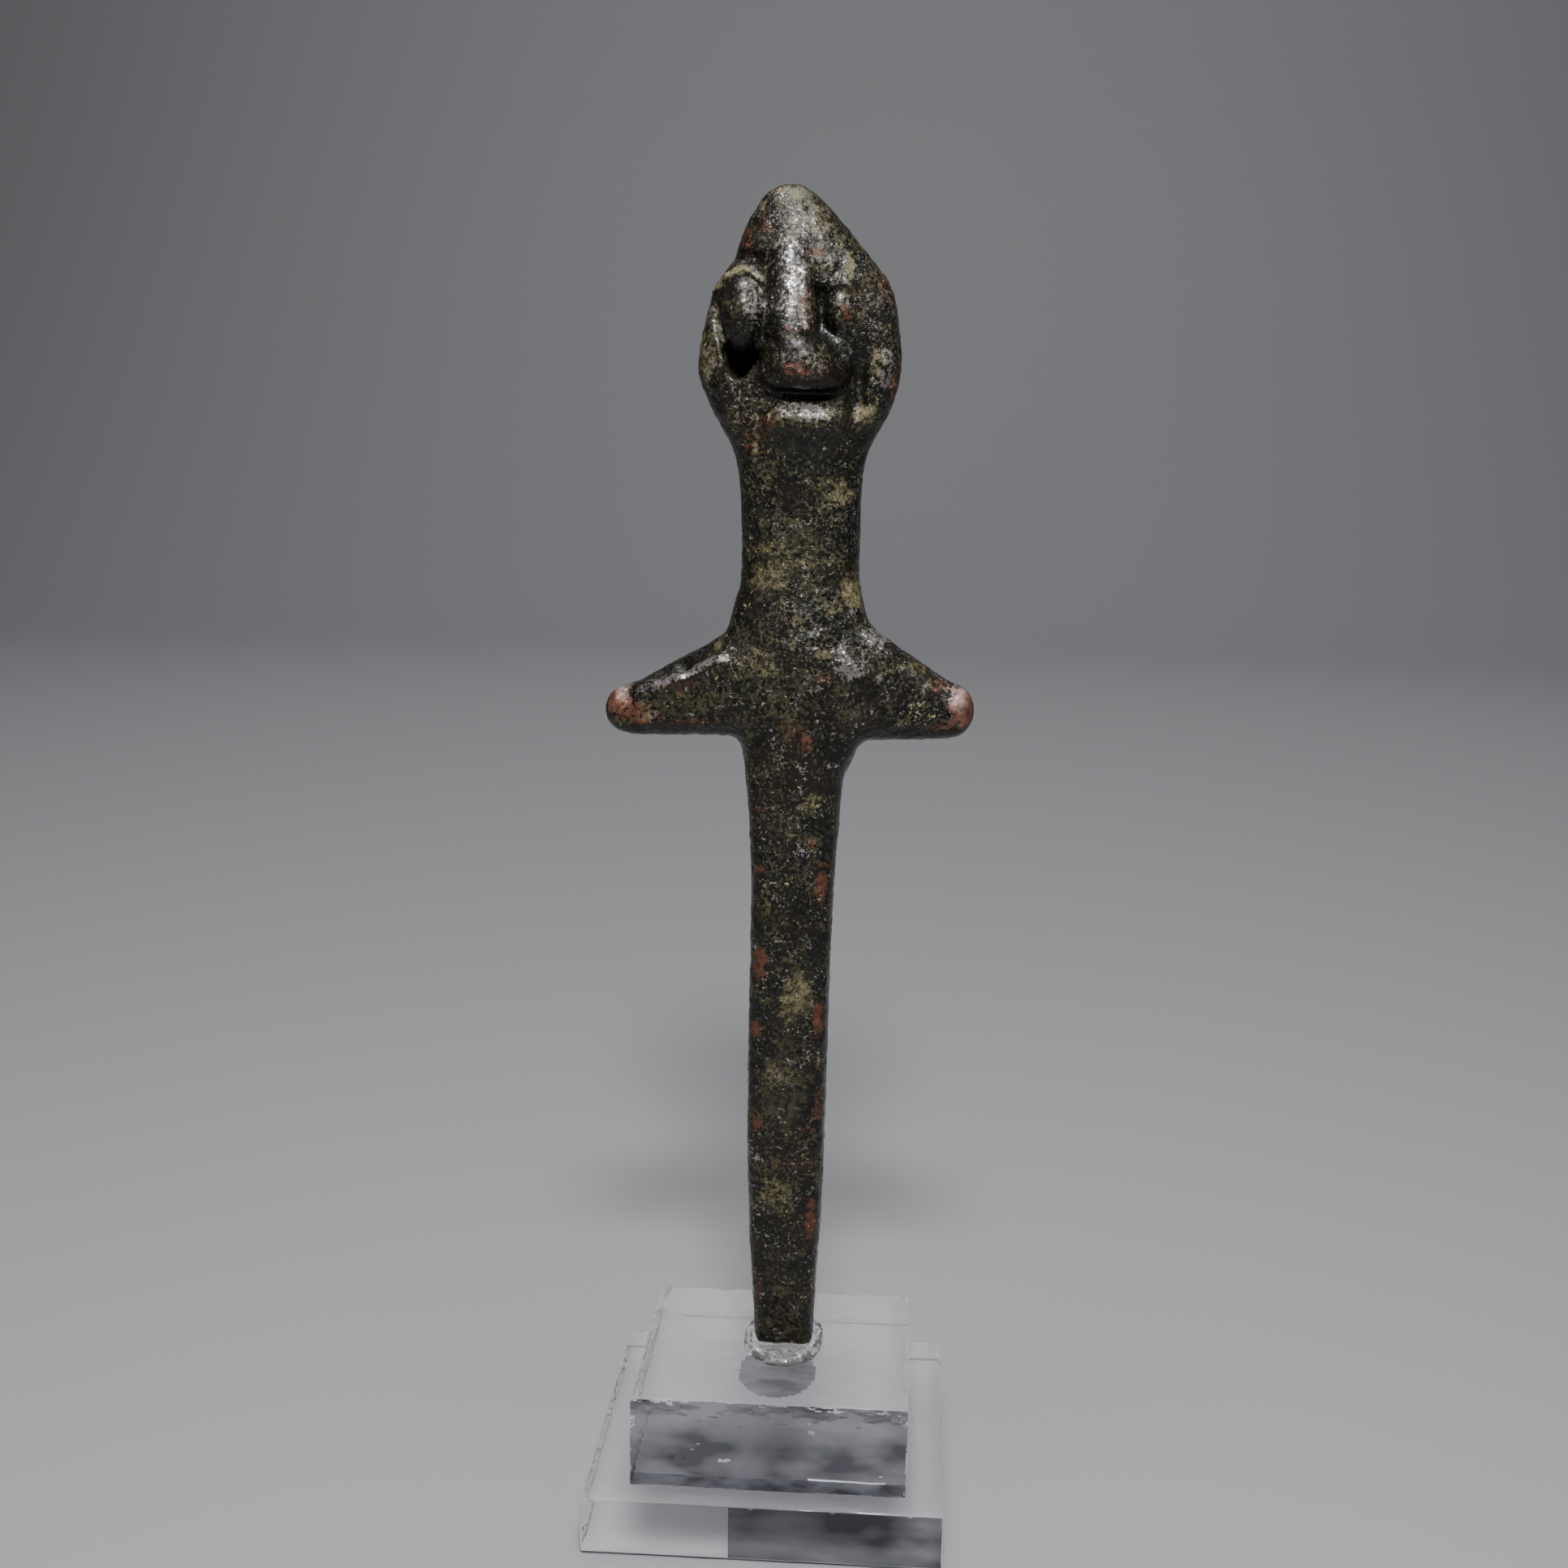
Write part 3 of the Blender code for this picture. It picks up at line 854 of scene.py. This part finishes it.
    def deposit_values(self, local: Points, normals: Points,
                       noise: GrainField) -> dict[Deposit, Points]:
        """Works out what lies on each point of the casting, and where shade is painted.

        Args:
            local: Places from the middle of the foot, in metres.
            normals: Outward directions.
            noise: The noise that breaks the stains up.

        Returns:
            For each deposit, values from 0 to 1.
        """
        ragged = noise.layered(local, 1.6 * MM, 3, 300)
        front = ease_between(-normals[:, 1], -0.35, 0.25)
        values = {deposit: np.zeros(len(local)) for deposit in Deposit}
        for spread in self.spreads:
            cloud = noise.layered(local, spread.wave, spread.layers, spread.salt)
            cloud = ease_between(cloud + spread.ragged * ragged, spread.low, spread.high)
            values[spread.deposit] += spread.strength * cloud
        for patch in self.patches:
            across = local[:, 0] / MM - patch.x
            above = local[:, 2] / MM - patch.z - patch.lean * across
            away = np.sqrt((across / patch.wide) ** 2 + (above / patch.tall) ** 2)
            inside = self.patch_reach - away + self.patch_ragged * ragged
            here = patch.strength * front * ease_between(inside, -0.1, 0.95)
            values[patch.deposit] = np.maximum(values[patch.deposit], here)
        return {deposit: np.clip(value, 0, 1) for deposit, value in values.items()}

    def hollow_shade_values(self, mesh: bpy.types.Mesh, points: Points, normals: Points) -> Points:
        """Works out the painted shade in hollows, where the skin lies deeper than its surroundings."""
        count = len(points)
        edges = np.empty(len(mesh.edges) * 2, dtype=np.int64)
        mesh.edges.foreach_get("vertices", edges)
        one, other = edges.reshape(-1, 2).T
        ends = np.concatenate([one, other])
        partners = np.concatenate([other, one])
        near = np.maximum(np.bincount(ends, minlength=count), 1)
        mean = points.copy()
        for _ in range(self.hollow_rounds):
            totals = [np.bincount(ends, weights=row, minlength=count) for row in mean[partners].T]
            mean = np.stack([total / near for total in totals], axis=1)
        depth = np.einsum("ij,ij->i", mean - points, normals) / MM
        return self.hollow_shade_strength * ease_between(depth, *self.hollow_depths)

    def stroke_rise(self, local: Points, facing: Points) -> Points:
        """How far the tool strokes raise each point of the skin.

        Args:
            local: Places from the middle of the foot, in metres.
            facing: How far each point looks to the front, from 0 to 1.

        Returns:
            The rise in metres, below 0 where a stroke is cut in.
        """
        rise = np.zeros(len(local))
        for stroke in self.strokes:
            line = (np.array(stroke.end) - np.array(stroke.start)) * MM
            offset = local[:, [0, 2]] - np.array(stroke.start) * MM
            along = np.clip((offset @ line) / (line @ line), 0, 1)
            away = np.linalg.norm(offset - along[:, None] * line, axis=1)
            rise += stroke.rise * MM * (np.exp(-((away / (stroke.radius * MM)) ** 2)) * facing)
        return rise

    def worked_surface(self, mesh: bpy.types.Mesh, foot: Vector) -> None:
        """Sculpts the skin: tool strokes, casting swells, grit, pits and crust.

        Args:
            mesh: The fine skin, which is changed.
            foot: The middle of the figure's foot.
        """
        noise = GrainField(self.seed)
        points = read_rows(mesh, "co")
        normals = read_rows(mesh, "normal")
        low, high = points.min(0), points.max(0)
        local = points - np.array(foot)
        values = self.deposit_values(local, normals, noise)
        rise = self.stroke_rise(local, ease_between(-normals[:, 1], -0.1, 0.25))
        for lumps in (self.swell, self.ripple):
            rise += lumps.height * noise.lumps(local, lumps)
        left = 1 - self.rubbed_away * np.maximum(values[Deposit.GLOSS], values[Deposit.COPPER])
        rise += self.grit.height * left * noise.lumps(local, self.grit)
        for pits in self.pits:
            rise -= pits.depth * noise.pits(local, pits)
        crust = 0.6 + 0.8 * noise.smooth(local, self.crust_wave, 200)
        rise += self.crust_rise * values[Deposit.OCHRE] * crust
        # Painted shade: darker where the skin looks down and in hollows
        under = self.under_shade_strength * ease_between(-normals[:, 2], 0.25, 0.80)
        hollow = np.maximum(self.hollow_shade_values(mesh, points, normals), under)
        values[Deposit.HOLLOW] = np.maximum(values[Deposit.HOLLOW], hollow)
        write_points(mesh, np.clip(points + normals * rise[:, None], low, high))
        for deposit, value in values.items():
            write_value(mesh, deposit.value, value)

    def build(self) -> bpy.types.Object:
        """Makes the casting and puts it in place of its node."""
        mesh = settled_mesh(bpy.data.objects[self.node], self.add_skin)
        self.worked_surface(mesh, self.foot())
        mesh.materials.clear()
        mesh.materials.append(self.finish.material())
        made = show_mesh("bronze_casting", mesh)
        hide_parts(self.node)
        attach(made, "root")
        return made


@dataclass
class ClearBlock:
    """One sawn block of clear sheet, its cut faces a little uneven."""

    node: str
    piece: str
    edge: float = 0.3 * MM
    cells: int = 88
    sink: float = 0.0
    wave: float = 3.2 * MM
    chip: float = 0.30 * MM
    chip_wave: float = 1.1 * MM
    chip_levels: tuple[float, float] = (0.22, 0.60)
    dents: Pits = Pits(2.4 * MM, 0.9 * MM, 0.25, 0.5, 31)
    rough_faces: dict[Face, float] = field(default_factory=dict)
    cuts: dict[Face, Cut] = field(default_factory=dict)
    painted_reflection_from: float = 0.0
    dark_foot_height: float = 0.0
    # Painted glint: a milky line just above the dark band, across this share of the front
    painted_glint_span: tuple[float, float] = (0.64, 0.92)
    painted_glint_top: float = 1.18
    # A painted shadow oval on the top, if any
    painted_shadow: PaintedShadowOval | None = None
    seed: int = 1

    def stops(self, low: float, high: float) -> list[float]:
        """The grid's places along one edge, closer together at the broken corners."""
        insets = [self.edge * (1 - math.cos(math.pi / 2 * step / 3)) for step in range(3)]
        inner = np.linspace(low + self.edge, high - self.edge, self.cells + 1)
        outer = [high - inset for inset in reversed(insets)]
        return [low + inset for inset in insets] + list(inner) + outer

    def shell(self, low: Vector, high: Vector) -> bpy.types.Mesh:
        """Builds the block's skin as a fine grid on every face, with rounded edges.

        Args:
            low: The block's lowest corner.
            high: The block's highest corner.

        Returns:
            A closed mesh.
        """
        grid = [self.stops(low[axis], high[axis]) for axis in range(3)]
        last = [len(stops) - 1 for stops in grid]
        bm = bmesh.new()
        made: dict[tuple[int, int, int], bmesh.types.BMVert] = {}

        def corner(index: tuple[int, int, int]) -> bmesh.types.BMVert:
            """Gives the grid's corner there, made only once."""
            if index not in made:
                made[index] = bm.verts.new([grid[axis][index[axis]] for axis in range(3)])
            return made[index]

        for axis in range(3):
            one, other = (axis + 1) % 3, (axis + 2) % 3
            for end in (0, last[axis]):
                for row, cell in np.ndindex(last[one], last[other]):
                    around = [(row, cell), (row + 1, cell), (row + 1, cell + 1), (row, cell + 1)]
                    face = []
                    for along, across in around if end else reversed(around):
                        index = [0, 0, 0]
                        index[axis], index[one], index[other] = end, along, across
                        face.append(corner((index[0], index[1], index[2])))
                    bm.faces.new(face)
        mesh = bpy.data.meshes.new(self.piece)
        bm.to_mesh(mesh)
        bm.free()
        points = read_rows(mesh, "co")
        inner_low = np.array(low) + self.edge
        inner_high = np.array(high) - self.edge
        core = np.clip(points, inner_low, inner_high)
        out = points - core
        length = np.linalg.norm(out, axis=1, keepdims=True)
        rounded = out / np.maximum(length, 1e-9) * self.edge
        write_points(mesh, core + np.where(length > 1e-9, rounded, 0))
        return mesh

    def saw(self, mesh: bpy.types.Mesh, low: Vector, high: Vector) -> None:
        """Pushes the cut faces in by small, uneven amounts.

        Args:
            mesh: The block's skin, which is changed.
            low: The block's lowest corner.
            high: The block's highest corner.
        """
        noise = GrainField(self.seed)
        points = read_rows(mesh, "co")
        depths = np.minimum(points - np.array(low), np.array(high) - points)
        near_edge = np.sort(depths, axis=1)[:, 1]
        middle = 0.5 * (np.array(low) + np.array(high))
        inward = np.sign(middle - points) * (depths < 2.5 * self.edge)
        chipped = ease_between(noise.layered(points, self.chip_wave, 3, 51), *self.chip_levels)
        chipped *= ease_between(-near_edge, -2.2 * self.edge, -0.3 * self.edge)
        chipped *= ease_between(points[:, 2], low[2] + self.edge, low[2] + 3 * self.edge)
        for face, depth in self.rough_faces.items():
            axis, way = face.value
            level = high[axis] if way > 0 else low[axis]
            on_face = ease_between(-np.abs(points[:, axis] - level), -self.edge, 0.0)
            waves = 0.5 + 0.5 * noise.layered(points * (1.0, 1.0, 1.5), self.wave, 4, 7)
            dents = self.dents.depth * noise.pits(points, self.dents)
            points[:, axis] -= way * on_face * depth * (waves + dents)
        write_points(mesh, points + self.chip * chipped[:, None] * inward)

    def cut_at(self, middle: Vector, way: Vector, low: Vector, high: Vector) -> Cut:
        """Tells which cut a spot on the block's skin has, or what is painted there.

        Args:
            middle: The spot.
            way: The way that the skin looks there.
            low: The block's lowest corner.
            high: The block's highest corner.

        Returns:
            Its cut.
        """
        cut = Cut.POLISHED
        for face, finish in self.cuts.items():
            axis, side = face.value
            if side * way[axis] > SQUARE_ON:
                cut = finish
        # Painted shadow: a grey oval on the top
        if self.painted_shadow and way.z > SQUARE_ON:
            return Cut.STAINED if self.painted_shadow.holds(middle) else cut
        # The front's painted dark reflection, with a darker band along its foot and a painted glint
        # line
        if cut is Cut.SAWN:
            across = (middle.x - low.x) / (high.x - low.x)
            above = middle.z - low.z
            if across < self.painted_reflection_from:
                return Cut.POLISHED
            # Darker band along the foot of the front
            if above < self.dark_foot_height:
                return Cut.GLUED
            # Painted glint: a milky line just above the dark band
            glint_from, glint_to = self.painted_glint_span
            if above < self.painted_glint_top * self.dark_foot_height and glint_from < across < glint_to:
                return Cut.SANDED
        return cut

    def build(self, materials: Sequence[bpy.types.Material]) -> bpy.types.Object:
        """Makes the block and puts it in place of its node."""
        low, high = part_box(self.node)
        low = low - Vector((0, 0, self.sink))
        mesh = self.shell(low, high)
        self.saw(mesh, low, high)
        for material in materials:
            mesh.materials.append(material)
        for polygon in mesh.polygons:
            polygon.material_index = self.cut_at(polygon.center, polygon.normal, low, high).value
        made = show_mesh(self.piece, mesh)
        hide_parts(self.node)
        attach(made, "root")
        return made


@dataclass
class GelCollar:
    """The clear gel that grips the foot, a low lumpy mound."""

    node: str = "gel_collar"
    fine_step: float = 0.13 * MM
    settle_rounds: int = 6
    seed: int = 5
    lumps: Lumps = Lumps(1.7 * MM, 0.20 * MM, 3, 3)
    bubbles: Pits = Pits(0.55 * MM, 0.26 * MM, 0.35, 0.10 * MM, 9)
    finish: ClearGel = field(default_factory=ClearGel)

    def add_skin(self, working: bpy.types.Object) -> None:
        """Makes one fine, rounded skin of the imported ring."""
        add_fine_skin(working, self.fine_step, self.settle_rounds)

    def build(self) -> bpy.types.Object:
        """Makes the gel and puts it in place of its node."""
        mesh = settled_mesh(bpy.data.objects[self.node], self.add_skin)
        noise = GrainField(self.seed)
        points = read_rows(mesh, "co")
        normals = read_rows(mesh, "normal")
        low, high = points.min(0), points.max(0)
        rise = self.lumps.height * noise.lumps(points, self.lumps)
        rise -= self.bubbles.depth * noise.pits(points, self.bubbles)
        write_points(mesh, np.clip(points + normals * rise[:, None], low, high))
        mesh.materials.clear()
        mesh.materials.append(self.finish.material())
        made = show_mesh("mounting_gel", mesh)
        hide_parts(self.node)
        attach(made, "root")
        return made


@dataclass
class Studio:
    """A plain pale floor, soft lights and a camera where the photograph was taken."""

    camera_place: Place = (13.35 * MM, -213.75 * MM, 126.49 * MM)
    yaw: float = -0.0619
    pitch: float = 0.1997
    roll: float = -0.0152
    lens: float = 45.0
    sensor: float = 36.0
    floor_half: float = 1.6
    floor_drop: float = 0.25 * MM
    wall_at: float = 0.75
    wall_round: float = 0.35
    wall_high: float = 0.46
    wall_steps: int = 12
    floor_colour: Colour = (0.26, 0.262, 0.275)
    air_colour: Colour = (0.80, 0.82, 0.86)
    air_strength: float = 0.06
    panels: Sequence[Panel] = (
        Panel("key", (0.018, -0.19, 0.30), (0.0, 0.0, 0.09), 0.04, 0.04, 1.45),
        Panel("fill_left", (-0.55, -0.45, 0.45), (0.0, 0.0, 0.09), 0.5, 0.5, 0.55),
        Panel("fill_right", (0.60, -0.30, 0.40), (0.0, 0.0, 0.09), 0.5, 0.5, 0.40),
        Panel("overhead", (0.0, 0.02, 0.75), (0.0, 0.0, 0.0), 0.5, 0.5, 5.0),
        Panel("wall_wash", (0.0, 0.50, 0.60), (0.0, 1.05, 0.15), 0.9, 0.2, 2.0),
    )

    def camera(self) -> None:
        """Puts the camera where the photograph was taken."""
        data = bpy.data.cameras.new("photo_camera")
        data.sensor_width = self.sensor
        data.lens = self.lens
        data.clip_start = 0.01
        made = bpy.data.objects.new("photo_camera", data)
        bpy.context.scene.collection.objects.link(made)
        flat = math.cos(self.pitch)
        ahead = Vector((math.sin(self.yaw) * flat, math.cos(self.yaw) * flat, -math.sin(self.pitch)))
        level = Vector((math.cos(self.yaw), -math.sin(self.yaw), 0.0))
        down = ahead.cross(level)
        right = math.cos(self.roll) * level + math.sin(self.roll) * down
        up = math.sin(self.roll) * level - math.cos(self.roll) * down
        turn = Matrix((right, up, -ahead)).transposed().to_4x4()
        made.matrix_world = Matrix.Translation(self.camera_place) @ turn
        bpy.context.scene.camera = made

    def floor(self) -> None:
        """Lays the floor, which curves up into a plain back wall."""
        outline = [(-self.floor_half, 0.0)]
        for step in range(self.wall_steps + 1):
            turn = math.pi / 2 * step / self.wall_steps
            back = self.wall_at + self.wall_round * math.sin(turn)
            outline.append((back, self.wall_round * (1 - math.cos(turn))))
        outline.append((self.wall_at + self.wall_round, self.wall_high))
        bm = bmesh.new()
        left, right = (
            [bm.verts.new((side * self.floor_half, y, z - self.floor_drop)) for y, z in outline]
            for side in (-1, 1))
        for near in range(len(outline) - 1):
            bm.faces.new((left[near], right[near], right[near + 1], left[near + 1]))
        mesh = bpy.data.meshes.new("floor")
        bm.to_mesh(mesh)
        bm.free()
        sheet = NodeSheet("matte_floor")
        sheet.set_plain(Roughness=0.7)
        sheet.paint(self.floor_colour)
        mesh.materials.append(sheet.material)
        show_mesh("floor", mesh)

    def light(self, panel: Panel) -> None:
        """Hangs one soft light panel."""
        data = bpy.data.lights.new(panel.name, "AREA")
        data.shape = "RECTANGLE"
        data.size = panel.wide
        data.size_y = panel.tall
        data.energy = panel.power
        made = bpy.data.objects.new(panel.name, data)
        made.location = panel.place
        way = Vector(panel.aim) - Vector(panel.place)
        made.rotation_euler = way.to_track_quat("-Z", "Y").to_euler()
        bpy.context.scene.collection.objects.link(made)

    def build(self) -> None:
        """Sets the whole studio up."""
        self.camera()
        self.floor()
        for panel in self.panels:
            self.light(panel)
        world = bpy.data.worlds.new("studio_air")
        world.use_nodes = True
        backdrop = world.node_tree.nodes["Background"]
        backdrop.inputs["Color"].default_value = (*self.air_colour, 1.0)
        backdrop.inputs["Strength"].default_value = self.air_strength
        bpy.context.scene.world = world


def report(made: bpy.types.Object) -> None:
    """Logs one finished piece."""
    LOG.info("%s: %d faces", made.name, len(made.data.polygons))


def main() -> None:
    """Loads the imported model, dresses each piece and sets up the studio."""
    logging.basicConfig(level=logging.INFO, format="%(message)s")
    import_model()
    clear = ClearAcrylic().materials()
    even = {Face.FRONT: 0.10 * MM, Face.LEFT: 0.05 * MM, Face.RIGHT: 0.05 * MM, Face.BACK: 0.04 * MM}
    uneven = {Face.FRONT: 0.45 * MM, Face.LEFT: 0.10 * MM, Face.RIGHT: 0.10 * MM, Face.BACK: 0.05 * MM}
    # The fronts get the painted dark reflection
    cuts = {Face.UNDERSIDE: Cut.SANDED, Face.FRONT: Cut.SAWN}
    lower = ClearBlock("lower_block", "lower_clear_block", chip=0.04 * MM, rough_faces=even, seed=3,
                       cuts=cuts, painted_reflection_from=0.41)
    upper = ClearBlock("upper_block", "upper_clear_block", sink=0.27 * MM, rough_faces=uneven, seed=4,
                       cuts=cuts, dark_foot_height=1.5 * MM,
                       # The painted shadow oval in front of the gel
                       painted_shadow=PaintedShadowOval(0.9 * MM, -9.2 * MM, 4.4 * MM, 5.8 * MM))
    report(lower.build(clear))
    report(upper.build(clear))
    report(GelCollar().build())
    report(BronzeCasting().build())
    Studio().build()


if __name__ == "__main__":
    main()
